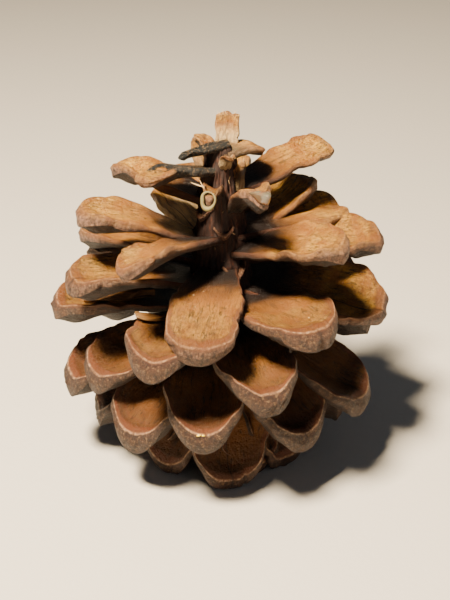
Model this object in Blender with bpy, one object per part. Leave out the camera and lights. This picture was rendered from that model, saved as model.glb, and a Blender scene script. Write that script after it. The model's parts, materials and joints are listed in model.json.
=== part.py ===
"""An open pine cone, standing upright on its lowest scales.

A woody axis carries its seed scales on a golden-angle spiral. They are counted from 0 at the
base to the last at the tip. Each scale is one blade: a narrow root sunk in the axis, a cupped
upper face that broadens outwards, and a thick blunt end with a ridge across it. The axis and
the scales grew as one piece, so they are fused into one solid. A winged seed, a seed tip and
a drop of resin lie loose on single scales.

Lengths are in millimetres and angles in degrees until metres() places them. +Z is up, and
an angle of 0 round the axis faces -Y, with positive angles turning towards +X.
"""

import math
import random
from typing import NamedTuple

import bmesh
import bpy
import numpy as np
from mathutils import Vector

# Spiral
SCALE_COUNT = 62
TURN = -137.508
FRONT_SCALE = 11
FRONT_ANGLE = 2.3

# The axis stands a little off the origin, so that the middle of the outline is over it
AXIS_X = 0.4
AXIS_Y = -0.4

# Sizes along the spiral, at these scale numbers, with a smooth curve between them
STATIONS = (0, 11, 21, 32, 41, 51, 56, 61)
ROOT_HEIGHT = (10.4, 16.5, 22.9, 29.9, 36.9, 45.4, 49.7, 53.4)
AXIS_RADIUS = (3.5, 4.6, 5.0, 4.8, 4.0, 3.2, 2.5, 1.5)
PITCH = (-43, -35, -23, 0, 14, 22, 35, 52)
LENGTH = (13, 18.5, 20, 21.5, 20.5, 18, 11, 7)
WIDTH = (9.5, 12.4, 12.8, 11.8, 10.0, 8.0, 6.0, 4.2)
END_DEPTH = (3.0, 3.8, 3.9, 3.6, 3.3, 2.9, 2.1, 1.5)
END_REACH = (0.8, 1.2, 1.1, 0.4, -0.2, -0.4, -0.3, -0.2)
CUP = (1.4, 2.5, 2.4, 1.5, 1.0, 0.8, 0.5, 0.2)
BOWL = (0.5, 1.2, 1.2, 0.8, 0.5, 0.4, 0.2, 0.0)

# One blade: rows along it and columns across it, in shares of its length and half width
ROOT_SINK = 2.2
BLADE_DEPTH = 1.3
ROWS = (0.0, 0.34, 0.64, 0.88, 1.0)
COLUMNS = (-1.0, -0.55, 0.0, 0.55, 1.0)
ROOT_WIDTH_SHARE = 0.44
BROADEST_AT = 0.66
END_WIDTH_SHARE = 0.8
END_ROUNDING = 0.14
EDGE_DEPTH_SHARE = 0.5
DEEPENS_FROM = 0.52
DEEPENS_TO = 0.88
ARCH = 0.7
WAVE = 0.35
RIDGE_OUT = 0.55
RIDGE_DROP = 0.42

# Stalk scar and the last of the axis
STALK_RADIUS = 2.4
STALK_LENGTH = 4.0
CROWN_HEIGHT = 0.4
AXIS_SIDES = 12

# Loose pieces lie this far above the scale that carries them
GAP = 0.3

# Winged seeds: the scale each lies on, its seed end and its wing tip as (s, t) places on that
# scale's upper face, and its greatest width
SEEDS = {
    "winged_seed_left": (30, (0.3, 0.34), (0.4, 0.82), 4.4),
    "winged_seed_low": (27, (-0.25, 0.28), (-0.98, 0.66), 2.6),
}
WING_DEPTH = 0.6
SEED_DEPTH = 1.5
SEED_SHARE = 0.36
SEED_ROWS = 9

# Resin drop on the end of one scale near the tip
RESIN_SCALE = 50
RESIN_DEPTH = 0.9
RESIN_SPREAD = 0.8


class Lean(NamedTuple):
    """How far one scale has sprung from the rule: degrees, factors, and a rise in millimetres."""

    yaw: float = 0
    pitch: float = 0
    roll: float = 0
    length: float = 1
    width: float = 1
    rise: float = 0
    arch: float = ARCH
    depth: float = 1
    rounding: float = END_ROUNDING
    end_width: float = END_WIDTH_SHARE
    cup: float = 1


# Scale number: its lean. The very short ones broke off or never grew
SPRUNG = {
    6: Lean(-10, -4),
    8: Lean(-12, -9, length=0.98),
    9: Lean(3, 14, length=1.05),
    11: Lean(4, -12, length=1.04),
    14: Lean(16, 14),
    16: Lean(1, 9),
    17: Lean(33, 18, length=1.12, cup=0.6),
    19: Lean(14, 9),
    21: Lean(-4, 2, length=1.12, cup=0.7),
    22: Lean(12, 10, length=0.95, cup=0.6),
    24: Lean(2, 14, cup=0.8),
    27: Lean(17, 17, cup=0.75),
    29: Lean(-17, 16, rise=1.5, width=1.1, cup=0.6),
    30: Lean(5, 6, length=1.04, rise=-1.5),
    31: Lean(-23, -1),
    32: Lean(-3, -6, rise=4.0, length=0.95, width=0.95, arch=1.6, end_width=0.88, cup=0.35),
    33: Lean(26, -2),
    34: Lean(-4, -10, roll=20, length=1.05, width=1.1),
    35: Lean(-7, 7),
    37: Lean(0, -20, length=0.05, width=0.35),
    38: Lean(-4, -7),
    39: Lean(-23, -3, roll=10, length=1.06),
    40: Lean(-12, -4, roll=14, width=0.75, rise=3.5),
    42: Lean(-11, 3, roll=12),
    43: Lean(8, 7),
    44: Lean(-22, 12, length=0.85, width=0.9, rise=-3.5),
    45: Lean(0, 0, length=0.05, width=0.35),
    46: Lean(-20, -3, length=0.68, rise=-3.0),
    47: Lean(28, -20, roll=6, width=1.1, rise=-2.0),
    48: Lean(0, 0, length=0.05, width=0.35),
    49: Lean(0, -8, length=0.7),
    50: Lean(-21, 12, length=0.8, width=0.5, depth=2.2),
    51: Lean(-8, -8, length=0.82, rise=0.5),
    52: Lean(-1, -12, roll=12, length=1.1, width=0.86, rounding=0.11, end_width=0.9),
    53: Lean(0, -6, length=0.3, width=0.4, depth=2.3),
    54: Lean(-10, 10, length=0.5, width=0.7),
    55: Lean(-30, 48, length=0.55, width=0.32, rise=-4.0, depth=1.2),
    56: Lean(6, -32, roll=12, length=1.06, width=1.15, rise=0.8),
    57: Lean(20, 25, length=0.72, width=0.65, rounding=0.05, end_width=0.95),
    58: Lean(0, 0, length=0.35, width=0.4),
    59: Lean(0, 0, length=0.4, width=0.6),
    60: Lean(25, -54, length=0.8, width=1.0),
    61: Lean(-30, -60, length=0.85, width=0.5, rise=1.0, arch=0.2, depth=1.4),
}


def along(sizes, number):
    """The size at a scale number, on a smooth curve through the stations."""
    last = len(STATIONS) - 1
    slopes = []
    for index in range(last + 1):
        before, after = max(index - 1, 0), min(index + 1, last)
        slopes.append((sizes[after] - sizes[before]) / (STATIONS[after] - STATIONS[before]))
    index = min(max(int(np.searchsorted(STATIONS, number, "right")) - 1, 0), last - 1)
    span = STATIONS[index + 1] - STATIONS[index]
    u = (number - STATIONS[index]) / span
    return (
        (1 + 2 * u) * (1 - u) ** 2 * sizes[index]
        + u * (1 - u) ** 2 * span * slopes[index]
        + u * u * (3 - 2 * u) * sizes[index + 1]
        + u * u * (u - 1) * span * slopes[index + 1]
    )


def eased(low, high, value):
    """0 below low, 1 above high, and a smooth rise between."""
    u = min(max((value - low) / (high - low), 0), 1)
    return u * u * (3 - 2 * u)


def metres(point):
    """A point in millimetres as Blender's metres."""
    return Vector(point) / 1000


class Scale:
    """One seed scale: where it stands, which way it points, and its surfaces."""

    def __init__(self, number):
        lean = SPRUNG.get(number, Lean())
        angle = math.radians(FRONT_ANGLE + TURN * (number - FRONT_SCALE))
        heading = angle + math.radians(lean.yaw)
        pitch = math.radians(along(PITCH, number) + lean.pitch)
        radius = along(AXIS_RADIUS, number)
        self.root = Vector(
            (
                AXIS_X + radius * math.sin(angle),
                AXIS_Y - radius * math.cos(angle),
                along(ROOT_HEIGHT, number) + lean.rise,
            )
        )
        self.outward = Vector(
            (
                math.sin(heading) * math.cos(pitch),
                -math.cos(heading) * math.cos(pitch),
                math.sin(pitch),
            )
        )
        level = Vector((math.cos(heading), math.sin(heading), 0))
        upright = self.outward.cross(level)
        roll = math.radians(lean.roll)
        self.across = level * math.cos(roll) + upright * math.sin(roll)
        self.normal = self.outward.cross(self.across)
        self.length = along(LENGTH, number) * lean.length
        self.width = along(WIDTH, number) * lean.width
        self.end_depth = along(END_DEPTH, number) * min(lean.width, 1) * lean.depth
        self.cup = along(CUP, number) * lean.cup
        self.bowl = along(BOWL, number) * lean.cup
        self.end_reach = along(END_REACH, number)
        self.arch = lean.arch
        self.rounding = lean.rounding
        self.end_width = lean.end_width
        draw = random.Random(number)
        self.wave_phase = draw.uniform(0, 2 * math.pi)
        self.left_lift = draw.uniform(-WAVE, WAVE)
        self.right_lift = draw.uniform(-WAVE, WAVE)

    def half_width(self, t):
        """Half the blade's width at a share t of its length."""
        if t < BROADEST_AT:
            share = ROOT_WIDTH_SHARE + (1 - ROOT_WIDTH_SHARE) * eased(-0.1, BROADEST_AT, t)
        else:
            share = 1 - (1 - self.end_width) * ((t - BROADEST_AT) / (1 - BROADEST_AT)) ** 2
        return share * self.width / 2

    def depth(self, t):
        """How deep the blade is below the middle of its upper face."""
        return BLADE_DEPTH + (self.end_depth - BLADE_DEPTH) * eased(DEEPENS_FROM, DEEPENS_TO, t)

    def local(self, s, t):
        """Across, out and up of a point of the upper face: s runs -1 to 1 across it, t 0 to 1 out."""
        out = t * self.length * (1 - self.rounding * abs(s * t) ** 3) - ROOT_SINK * (1 - t)
        lift = self.right_lift if s > 0 else self.left_lift
        up = (self.cup + lift) * s * s * eased(0.1, 0.8, t)
        up += self.arch * 4 * t * (1 - t)
        up -= self.bowl * (1 - s * s) * eased(0.3, 0.8, t) * (1 - eased(0.85, 1, t))
        up += WAVE * 0.5 * math.sin(7 * t + self.wave_phase) * s * t
        return s * self.half_width(t), out, up

    def place(self, across, out, up):
        """A point given along the blade's own three directions from its root."""
        return self.root + self.across * across + self.outward * out + self.normal * up

    def upper(self, s, t, lift=0):
        """A point of the upper face, or a lift above it."""
        across, out, up = self.local(s, t)
        return self.place(across, out, up + lift)

    def under(self, s, t):
        """A point of the underside, which is shallow at the edges and deep at the end."""
        across, out, up = self.local(s, t)
        depth = self.depth(t) * (1 - (1 - EDGE_DEPTH_SHARE) * s * s * eased(0.4, 0.9, t))
        return self.place(across, out + self.end_reach * eased(0.8, 1, t), up - depth)

    def ridge(self, s):
        """A point of the ridge that crosses the end face."""
        across, out, up = self.local(s, 1)
        depth = self.end_depth * (1 - (1 - EDGE_DEPTH_SHARE) * s * s)
        out += RIDGE_OUT * (1 - 0.5 * s * s) + self.end_reach * RIDGE_DROP
        return self.place(across, out, up - depth * RIDGE_DROP)

    def end_face(self, s, q, lift):
        """A point of the end face: q runs 0 at the rim to 1 at the underside, lift is outwards."""
        rows = [self.upper(s, 1), self.ridge(s), self.under(s, 1)]
        if q < RIDGE_DROP:
            point = rows[0].lerp(rows[1], q / RIDGE_DROP)
        else:
            point = rows[1].lerp(rows[2], (q - RIDGE_DROP) / (1 - RIDGE_DROP))
        return point + self.outward * lift


def object_from(name, mesh, material=None):
    """A mesh object in the scene's collection, made from a finished bmesh."""
    bmesh.ops.recalc_face_normals(mesh, faces=mesh.faces)
    data = bpy.data.meshes.new(name)
    mesh.to_mesh(data)
    mesh.free()
    made = bpy.data.objects.new(name, data)
    bpy.context.scene.collection.objects.link(made)
    if material:
        data.materials.append(material)
    return made


def add_strip(mesh, first, second):
    """Triangles between two rows of points, with every diagonal the same way round."""
    for index in range(len(first) - 1):
        mesh.faces.new((first[index], first[index + 1], second[index + 1]))
        mesh.faces.new((first[index], second[index + 1], second[index]))


def slab_object(name, upper_points, lower_points, material):
    """A closed solid between two grids of points with the same rows and columns."""
    mesh = bmesh.new()
    upper = [[mesh.verts.new(metres(point)) for point in row] for row in upper_points]
    lower = [[mesh.verts.new(metres(point)) for point in row] for row in lower_points]
    for grid in (upper, lower):
        for first, second in zip(grid, grid[1:]):
            add_strip(mesh, first, second)
    for end in (0, -1):
        add_strip(mesh, upper[end], lower[end])
        add_strip(mesh, [row[end] for row in upper], [row[end] for row in lower])
    return object_from(name, mesh, material)


def seed_object(name, number, seed_end, wing_tip, width, material):
    """A winged seed: a plump seed that thins into a papery wing, laid on a scale's upper face."""
    scale = Scale(number)
    upper = []
    lower = []
    for row in range(SEED_ROWS):
        u = row / (SEED_ROWS - 1)
        middle_s = seed_end[0] + (wing_tip[0] - seed_end[0]) * u
        middle_t = seed_end[1] + (wing_tip[1] - seed_end[1]) * u
        spread = width / 2 * (0.3 + 0.7 * eased(0.1, 0.65, u)) * math.sqrt(max(1 - u**6, 0.12))
        plump = (1 - eased(SEED_SHARE * 0.5, SEED_SHARE, u)) * (SEED_DEPTH - WING_DEPTH)
        upper_row = []
        lower_row = []
        for side in COLUMNS:
            s = middle_s + side * spread / scale.half_width(middle_t)
            lower_row.append(scale.upper(s, middle_t, GAP))
            upper_row.append(scale.upper(s, middle_t, GAP + WING_DEPTH + plump * (1 - side * side)))
        upper.append(upper_row)
        lower.append(lower_row)
    return slab_object(name, upper, lower, material)


def resin_object(name, material):
    """A domed drop of resin on the end face of a scale."""
    scale = Scale(RESIN_SCALE)
    upper = []
    lower = []
    for q in (0.1, 0.26, RIDGE_DROP, 0.6, 0.78):
        edge = 1 - ((q - 0.44) / 0.5) ** 2
        columns = [side * RESIN_SPREAD * edge for side in COLUMNS]
        dome = [RESIN_DEPTH * (0.4 + 0.6 * edge * (1 - side * side)) for side in COLUMNS]
        lower.append([scale.end_face(s, q, GAP) for s in columns])
        upper.append([scale.end_face(s, q, GAP + lift) for s, lift in zip(columns, dome)])
    return slab_object(name, upper, lower, material)


def blade_object(scale, name):
    """A closed blade: upper face, underside, the two edges and the ridged end."""
    mesh = bmesh.new()
    upper = [[mesh.verts.new(metres(scale.upper(s, t))) for s in COLUMNS] for t in ROWS]
    under = [[mesh.verts.new(metres(scale.under(s, t))) for s in COLUMNS] for t in ROWS]
    ridge = [mesh.verts.new(metres(scale.ridge(s))) for s in COLUMNS]
    for first, second in zip(upper, upper[1:]):
        add_strip(mesh, first, second)
    for first, second in zip(under, under[1:]):
        add_strip(mesh, first, second)
    for side in (0, -1):
        add_strip(mesh, [row[side] for row in upper], [row[side] for row in under])
    add_strip(mesh, upper[0], under[0])
    add_strip(mesh, upper[-1], ridge)
    add_strip(mesh, ridge, under[-1])
    for side in (0, -1):
        mesh.faces.new((upper[-1][side], ridge[side], under[-1][side]))
    return object_from(name, mesh)


def axis_object(name):
    """The woody axis, turned: a stalk scar below, a swelling stem and a blunt crown."""
    base = along(ROOT_HEIGHT, 0)
    profile = [(STALK_RADIUS * 0.9, base - STALK_LENGTH), (STALK_RADIUS, base - STALK_LENGTH / 2)]
    for number in range(0, SCALE_COUNT, 6):
        profile.append((along(AXIS_RADIUS, number), along(ROOT_HEIGHT, number)))
    last = SCALE_COUNT - 1
    crown = along(ROOT_HEIGHT, last)
    profile.append((along(AXIS_RADIUS, last), crown))
    profile.append((along(AXIS_RADIUS, last) * 0.6, crown + CROWN_HEIGHT))
    mesh = bmesh.new()
    rings = []
    for radius, height in profile:
        ring = []
        for side in range(AXIS_SIDES):
            angle = 2 * math.pi * side / AXIS_SIDES
            x = AXIS_X + radius * math.cos(angle)
            y = AXIS_Y + radius * math.sin(angle)
            ring.append(mesh.verts.new(metres((x, y, height))))
        rings.append(ring)
    for lower, higher in zip(rings, rings[1:]):
        add_strip(mesh, lower + lower[:1], higher + higher[:1])
    mesh.faces.new(rings[0])
    mesh.faces.new(rings[-1])
    return object_from(name, mesh)


def floor_cutter(name):
    """A block below the resting plane, which cuts the lowest scale ends flat."""
    mesh = bmesh.new()
    bmesh.ops.create_cube(mesh, size=0.1)
    bmesh.ops.translate(mesh, verts=mesh.verts, vec=(0, 0, -0.05))
    cutter = object_from(name, mesh)
    cutter.hide_render = True
    cutter.display_type = "WIRE"
    return cutter


def add_boolean(target, operation, solver="EXACT", other=None, others=None):
    boolean = target.modifiers.new(operation.title(), "BOOLEAN")
    boolean.operation = operation
    boolean.solver = solver
    if others:
        boolean.operand_type = "COLLECTION"
        boolean.collection = others
    else:
        boolean.object = other


def apply_modifiers(target):
    """The evaluated mesh takes the place of the mesh and its modifiers."""
    graph = bpy.context.evaluated_depsgraph_get()
    finished = bpy.data.meshes.new_from_object(target.evaluated_get(graph))
    target.modifiers.clear()
    target.data = finished


def keep_largest_shell(target):
    """Drops loose scraps and the walls of sealed hollows, which fills them."""
    mesh = bmesh.new()
    mesh.from_mesh(target.data)
    bmesh.ops.triangulate(mesh, faces=mesh.faces)
    unseen = set(mesh.faces)
    shells = []
    while unseen:
        shell = set()
        edge_of_search = {next(iter(unseen))}
        while edge_of_search:
            face = edge_of_search.pop()
            shell.add(face)
            for edge in face.edges:
                if len(edge.link_faces) == 2:
                    edge_of_search |= set(edge.link_faces) - shell
        shells.append(shell)
        unseen -= shell
    largest = max(shells, key=len)
    scraps = [face for face in mesh.faces if face not in largest]
    bmesh.ops.delete(mesh, geom=scraps, context="FACES")
    mesh.to_mesh(target.data)
    mesh.free()


def build_cone(material):
    """The axis and all scales, fused into one solid and cut flat where it rests."""
    cone = axis_object("cone")
    blades = bpy.data.collections.new("blades")
    bpy.context.scene.collection.children.link(blades)
    for number in range(SCALE_COUNT):
        blade = blade_object(Scale(number), f"scale_{number}")
        bpy.context.scene.collection.objects.unlink(blade)
        blades.objects.link(blade)
    add_boolean(cone, "UNION", others=blades)
    apply_modifiers(cone)
    for blade in list(blades.objects):
        bpy.data.objects.remove(blade)
    bpy.data.collections.remove(blades)
    cutter = floor_cutter("floor_cutter")
    add_boolean(cone, "DIFFERENCE", other=cutter)
    apply_modifiers(cone)
    bpy.data.objects.remove(cutter)
    keep_largest_shell(cone)
    cone.data.materials.clear()
    cone.data.materials.append(material)
    return cone


def plain_material(name, colour, roughness):
    material = bpy.data.materials.new(name)
    material.use_nodes = True
    shader = material.node_tree.nodes["Principled BSDF"]
    shader.inputs["Base Color"].default_value = (*colour, 1)
    shader.inputs["Roughness"].default_value = roughness
    return material


def main():
    for old in list(bpy.data.objects):
        bpy.data.objects.remove(old)
    wood = plain_material("dry_cone_scale", (0.42, 0.24, 0.11), 0.7)
    build_cone(wood)
    wing = plain_material("papery_seed_wing", (0.36, 0.2, 0.09), 0.6)
    for name, (number, seed_end, wing_tip, width) in SEEDS.items():
        seed_object(name, number, seed_end, wing_tip, width, wing)
    resin_object("resin_drop", plain_material("dry_resin", (0.6, 0.52, 0.42), 0.25))


main()
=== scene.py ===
"""The looks of an open pine cone: its woody scales, axis, winged seeds and resin, on a plain stage.

The scales stand on a golden-angle spiral, counted from 0 at the base to the last at the tip.
Each is a closed blade of its own shape, and a node tree sets them on the spiral. Lengths in
the tables are millimetres and angles are degrees. Positions are turned to metres where a mesh
is made. An angle of 0 round the axis faces -Y, with positive angles turning towards +X.
"""

import json
import math
import random
from typing import NamedTuple

import bpy
import numpy as np
from bpy.props import FloatProperty, FloatVectorProperty, PointerProperty
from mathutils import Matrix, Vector

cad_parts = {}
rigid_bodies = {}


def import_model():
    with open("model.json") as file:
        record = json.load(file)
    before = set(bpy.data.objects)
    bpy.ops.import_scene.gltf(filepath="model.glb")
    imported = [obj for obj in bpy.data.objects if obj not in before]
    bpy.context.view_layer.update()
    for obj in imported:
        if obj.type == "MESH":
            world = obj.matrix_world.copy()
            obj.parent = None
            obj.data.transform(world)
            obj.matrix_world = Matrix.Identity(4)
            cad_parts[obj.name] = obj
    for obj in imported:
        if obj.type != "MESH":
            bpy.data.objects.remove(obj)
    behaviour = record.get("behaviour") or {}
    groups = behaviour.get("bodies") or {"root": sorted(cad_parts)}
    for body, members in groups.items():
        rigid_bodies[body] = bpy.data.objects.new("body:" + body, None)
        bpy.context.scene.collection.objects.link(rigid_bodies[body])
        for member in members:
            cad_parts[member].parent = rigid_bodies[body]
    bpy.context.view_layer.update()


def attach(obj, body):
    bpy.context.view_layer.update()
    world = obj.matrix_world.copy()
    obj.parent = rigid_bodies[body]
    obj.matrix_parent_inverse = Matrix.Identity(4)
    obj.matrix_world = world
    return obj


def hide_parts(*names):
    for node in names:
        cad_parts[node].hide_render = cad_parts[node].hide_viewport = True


bl_info = {
    "name": "Open pine cone",
    "version": (1, 0, 0),
    "blender": (4, 5, 0),
    "location": "View3D > Sidebar > Pine Cone",
    "description": "Grows the scales, axis, winged seeds and resin of an open pine cone",
    "category": "Object",
}

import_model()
MM = 0.001

# Spiral of scales, the same rule as in the solid
SCALE_COUNT = 62
TURN = -137.508
FRONT_SCALE = 11
FRONT_ANGLE = 2.3
AXIS_X = 0.4
AXIS_Y = -0.4
STATIONS = (0, 11, 21, 32, 41, 51, 56, 61)
ROOT_HEIGHT = (10.4, 16.5, 22.9, 29.9, 36.9, 45.4, 49.7, 53.4)
AXIS_RADIUS = (3.5, 4.6, 5.0, 4.8, 4.0, 3.2, 2.5, 1.5)
PITCH = (-43, -35, -23, 0, 14, 22, 35, 52)
LENGTH = (13, 18.5, 20, 21.5, 20.5, 18, 11, 7)
WIDTH = (9.5, 12.4, 12.8, 11.8, 10.0, 8.0, 6.0, 4.2)
END_DEPTH = (3.0, 3.8, 3.9, 3.6, 3.3, 2.9, 2.1, 1.5)
END_REACH = (0.8, 1.2, 1.1, 0.4, -0.2, -0.4, -0.3, -0.2)
CUP = (1.4, 2.5, 2.4, 1.5, 1.0, 0.8, 0.5, 0.2)
BOWL = (0.5, 1.2, 1.2, 0.8, 0.5, 0.4, 0.2, 0.0)
CRISPNESS = (1.0, 1.0, 0.95, 0.6, 0.25, 0.15, 0.1, 0.1)

# Form of one blade, in shares of its length and half width or in millimetres
ROOT_SINK = 2.2
BLADE_DEPTH = 1.3
ROOT_WIDTH_SHARE = 0.44
BROADEST_AT = 0.66
END_WIDTH_SHARE = 0.8
END_ROUNDING = 0.14
EDGE_DEPTH_SHARE = 0.5
DEEPENS_FROM = 0.52
DEEPENS_TO = 0.88
ARCH = 0.7
WAVE = 0.35
RIDGE_OUT = 0.55
RIDGE_DROP = 0.42

# Finer form that the solid leaves out, in millimetres
BAND_WIDTH = 1.3
BEVEL_DROP = 0.3
EDGE_BULGE = 0.2
CREASE_DEPTH = 0.13
WRINKLE = 0.17
END_ROUGHNESS = 0.09
FIBRE_RELIEF = 0.1
UMBO_HEIGHT = 0.22
UMBO_RADIUS = 0.7
EDGE_WAVE = 0.16

# Grid of one blade: finer towards the rim, where the form turns
ROWS = 42
COLUMNS = 31
LEVELS = (0, 0.05, 0.16, 0.29, RIDGE_DROP, 0.56, 0.74, 0.92, 1)

# Scale numbers in each piece, so that no piece is too heavy
SCALE_GROUPS = {
    "scales_low": range(0, 21),
    "scales_middle": range(21, 42),
    "scales_high": range(42, SCALE_COUNT),
}

# Axis
STALK_RADIUS = 2.4
STALK_LENGTH = 4.0
CROWN_HEIGHT = 0.4
AXIS_SIDES = 120
AXIS_ROWS = 150
ROOT_SWELLING = 0.45
BARK_RELIEF = 0.16

# Loose pieces
GAP = 0.3
SEEDS = {
    "winged_seed_left": (30, (0.3, 0.34), (0.4, 0.82), 4.4),
    "winged_seed_low": (27, (-0.25, 0.28), (-0.98, 0.66), 2.6),
}
WING_DEPTH = 0.6
WING_THICKNESS = 0.16
SEED_DEPTH = 1.5
SEED_SHARE = 0.36
SEED_ROWS = 60
SEED_COLUMNS = 33
RESIN_SCALE = 50
RESIN_DEPTH = 1.2
RESIN_SPREAD = 0.92

# Torn fibres: scale number, how many, longest, and paleness from 0 to 1
TORN_ENDS = (
    (37, 8, 0.9, 0.2),
    (45, 8, 0.9, 0.2),
    (48, 12, 1.3, 0.3),
    (55, 6, 0.8, 0.8),
    (57, 10, 1.2, 0.9),
    (58, 6, 0.8, 0.7),
)
AXIS_FIBRES = 160
FIBRE_WIDTH = 0.11
PITH_SCALE = 53
PITH_RADIUS = 1.15
PITH_WALL = 0.3

# Flecks of resin: scale number, place across and out, level on the end face, size, yellowness
FLECKS = (
    (19, -0.12, 1.0, 0.03, 0.42, 1.0),
    (19, 0.02, 1.0, 0.02, 0.3, 1.0),
    (32, -0.45, 0.5, 0.0, 0.16, 0.0),
    (32, -0.3, 0.62, 0.0, 0.12, 0.0),
    (32, -0.52, 0.66, 0.0, 0.14, 0.0),
    (32, -0.2, 0.45, 0.0, 0.1, 0.0),
    (29, 0.3, 0.8, 0.0, 0.18, 0.0),
    (50, 0.1, 0.7, 0.0, 0.3, 0.1),
    (50, -0.4, 0.8, 0.0, 0.22, 0.1),
)
SCATTER_SEED = 5

# Relief of the skin, in millimetres from low to high, and where torn fibres sit on the axis
GRAIN_RELIEF = 0.45
SKIN_RELIEF = 0.5
AXIS_FIBRE_SCALES = (30, 60)
AXIS_FIBRE_LENGTHS = (0.6, 1.6)

# Camera and stage, in millimetres and degrees
VIEW_ELEVATION = 28
VIEW_DISTANCE = 200
LENS = 72
SENSOR = 36
AIM = (1.1, -0.4, 26.28)
FLOOR_REACH = 3000
SKY = ("#E8ECF2", 0.08)

# Lights: name, place, size, power in watts, colour
LIGHTS = (
    ("key_light", (-96, -108, 330), 60, 7.6, "#FFEAC8"),
    ("fill_light", (240, -280, 140), 260, 0.12, "#EAF0FF"),
)


class Lean(NamedTuple):
    """How far one scale has sprung from the rule: degrees, factors, and a rise in millimetres."""

    yaw: float = 0
    pitch: float = 0
    roll: float = 0
    length: float = 1
    width: float = 1
    rise: float = 0
    arch: float = ARCH
    depth: float = 1
    rounding: float = END_ROUNDING
    end_width: float = END_WIDTH_SHARE
    cup: float = 1


class Look(NamedTuple):
    """What is special about one scale's surface: shares of paleness and staining, a crack and folds."""

    pale: float = 0
    stain: float = 0
    broken: float = 0
    crack: float = 0.15
    crack_at: float = 0
    crack_from: float = 0.35
    fold: float = 0.3


# Scale number: its lean. The very short ones broke off or never grew
SPRUNG = {
    6: Lean(-10, -4),
    8: Lean(-12, -9, length=0.98),
    9: Lean(3, 14, length=1.05),
    11: Lean(4, -12, length=1.04),
    14: Lean(16, 14),
    16: Lean(1, 9),
    17: Lean(33, 18, length=1.12, cup=0.6),
    19: Lean(14, 9),
    21: Lean(-4, 2, length=1.12, cup=0.7),
    22: Lean(12, 10, length=0.95, cup=0.6),
    24: Lean(2, 14, cup=0.8),
    27: Lean(17, 17, cup=0.75),
    29: Lean(-17, 16, rise=1.5, width=1.1, cup=0.6),
    30: Lean(5, 6, length=1.04, rise=-1.5),
    31: Lean(-23, -1),
    32: Lean(-3, -6, rise=4.0, length=0.95, width=0.95, arch=1.6, end_width=0.88, cup=0.35),
    33: Lean(26, -2),
    34: Lean(-4, -10, roll=20, length=1.05, width=1.1),
    35: Lean(-7, 7),
    37: Lean(0, -20, length=0.05, width=0.35),
    38: Lean(-4, -7),
    39: Lean(-23, -3, roll=10, length=1.06),
    40: Lean(-12, -4, roll=14, width=0.75, rise=3.5),
    42: Lean(-11, 3, roll=12),
    43: Lean(8, 7),
    44: Lean(-22, 12, length=0.85, width=0.9, rise=-3.5),
    45: Lean(0, 0, length=0.05, width=0.35),
    46: Lean(-20, -3, length=0.68, rise=-3.0),
    47: Lean(28, -20, roll=6, width=1.1, rise=-2.0),
    48: Lean(0, 0, length=0.05, width=0.35),
    49: Lean(0, -8, length=0.7),
    50: Lean(-21, 12, length=0.8, width=0.5, depth=2.2),
    51: Lean(-8, -8, length=0.82, rise=0.5),
    52: Lean(-1, -12, roll=12, length=1.1, width=0.86, rounding=0.11, end_width=0.9),
    53: Lean(0, -6, length=0.3, width=0.4, depth=2.3),
    54: Lean(-10, 10, length=0.5, width=0.7),
    55: Lean(-30, 48, length=0.55, width=0.32, rise=-4.0, depth=1.2),
    56: Lean(6, -32, roll=12, length=1.06, width=1.15, rise=0.8),
    57: Lean(20, 25, length=0.72, width=0.65, rounding=0.05, end_width=0.95),
    58: Lean(0, 0, length=0.35, width=0.4),
    59: Lean(0, 0, length=0.4, width=0.6),
    60: Lean(25, -54, length=0.8, width=1.0),
    61: Lean(-30, -60, length=0.85, width=0.5, rise=1.0, arch=0.2, depth=1.4),
}

# Scale number: what sets its surface apart
LOOKS = {
    11: Look(crack=0.6, crack_from=0.25),
    29: Look(fold=0.6),
    31: Look(fold=0.7),
    34: Look(crack=1.0, crack_at=-0.25, crack_from=0.55, fold=0.5),
    35: Look(crack=0.7, crack_at=0.1, crack_from=0.45),
    37: Look(broken=1),
    39: Look(fold=0.8),
    42: Look(fold=0.8),
    45: Look(broken=1),
    # Scale 46 is bleached, and its paleness is set to full also as painted light, against the shade that the
    # scales above cast on it
    46: Look(pale=1.0, crack=0.8, crack_at=0.55, crack_from=0.1),
    47: Look(fold=0.7),
    48: Look(broken=1),
    49: Look(pale=0.3),
    50: Look(stain=0.35),
    51: Look(fold=0.9),
    52: Look(fold=0.5),
    53: Look(broken=0.45),
    54: Look(pale=0.3),
    55: Look(pale=0.5),
    56: Look(stain=0.6, fold=0.7),
    57: Look(pale=0.9, crack=0.4),
    58: Look(pale=0.7),
    60: Look(pale=0.2),
    61: Look(stain=0.9),
}


def along(sizes, number):
    """The size at a scale number, on a smooth curve through the stations."""
    number = np.asarray(number, float)
    stations = np.array(STATIONS, float)
    values = np.array(sizes, float)
    last = len(stations) - 1
    before = np.maximum(np.arange(last + 1) - 1, 0)
    after = np.minimum(np.arange(last + 1) + 1, last)
    slopes = (values[after] - values[before]) / (stations[after] - stations[before])
    index = np.clip(np.searchsorted(stations, number, "right") - 1, 0, last - 1)
    span = stations[index + 1] - stations[index]
    u = (number - stations[index]) / span
    return (
        (1 + 2 * u) * (1 - u) ** 2 * values[index]
        + u * (1 - u) ** 2 * span * slopes[index]
        + u * u * (3 - 2 * u) * values[index + 1]
        + u * u * (u - 1) * span * slopes[index + 1]
    )


def eased(low, high, value):
    """0 below low, 1 above high, and a smooth rise between."""
    u = np.clip((value - low) / (high - low), 0, 1)
    return u * u * (3 - 2 * u)


def ripple(draw, x, y, wavelength, waves=6):
    """Smooth unevenness of about 1 either way: plane waves in random directions, added up."""
    total = 0
    for _ in range(waves):
        turn = draw.uniform(0, 2 * math.pi)
        phase = draw.uniform(0, 2 * math.pi)
        length = wavelength * draw.uniform(0.6, 1.5)
        total = total + np.sin((x * math.cos(turn) + y * math.sin(turn)) * 2 * math.pi / length + phase)
    return total / math.sqrt(waves)


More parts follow.
